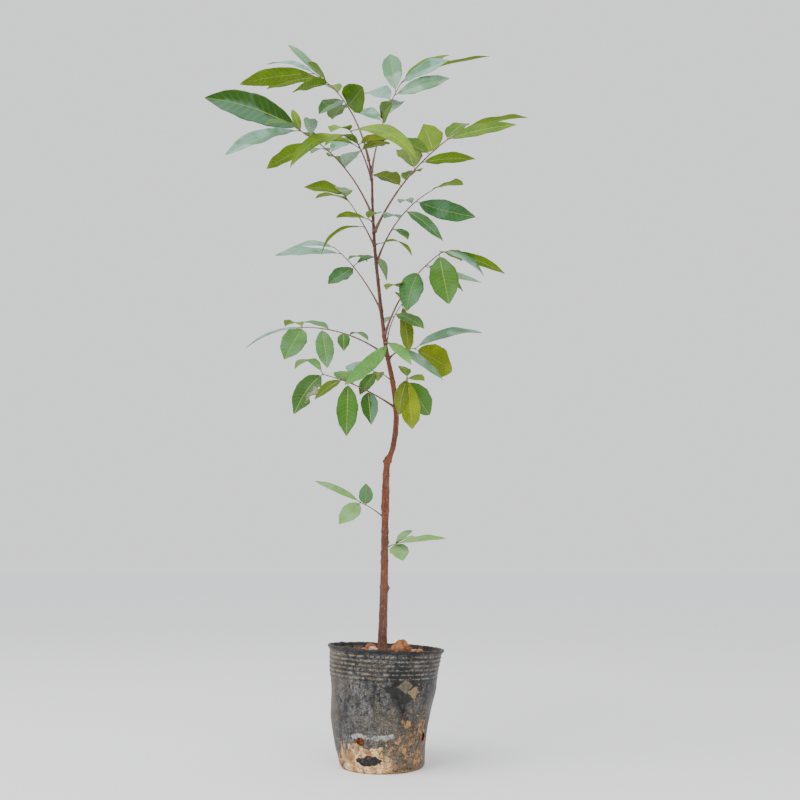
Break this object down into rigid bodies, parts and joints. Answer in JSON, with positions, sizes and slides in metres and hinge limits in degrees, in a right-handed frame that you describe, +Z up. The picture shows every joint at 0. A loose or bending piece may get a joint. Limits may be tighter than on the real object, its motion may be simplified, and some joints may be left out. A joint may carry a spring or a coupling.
{
  "type": "potted longan tree",
  "caption": "Young fruit tree with a slender bent trunk and open sprays of long pointed leaflets, standing in a soft black nursery pot.",
  "frame": {"origin": "middle of the flat underside of the pot", "axes": "+Z up along the trunk, -Y towards the front of the crown, +X to its right"},
  "size_m": [0.4779, 0.4207, 1.1522],
  "materials": {
    "pot": "dusty soft nursery plastic",
    "soil": "dry crumbly clay soil",
    "bark": "thin reddish brown bark",
    "leaf": "glossy above, matt below"
  },
  "bodies": {
    "root": {"pot": "pot", "soil": "soil", "clod_large": "soil", "clod_left": "soil", "clod_right": "soil", "clod_back": "soil", "trunk": "bark", "spray_top_left": "leaf", "spray_top_right": "leaf", "spray_top_front": "leaf", "spray_high_left": "leaf", "spray_high_right": "leaf", "spray_upper_left": "leaf", "spray_upper_small": "leaf", "spray_middle_right": "leaf", "spray_middle_small": "leaf", "spray_middle_left": "leaf", "spray_low_right": "leaf", "spray_low_front": "leaf", "spray_low_inner": "leaf", "spray_low_left": "leaf", "spray_low_back": "leaf", "spray_lower_inner": "leaf", "spray_lower_left": "leaf", "spray_lower_right": "leaf", "spray_stem_left": "leaf", "spray_stem_right": "leaf"}
  },
  "joints": []
}
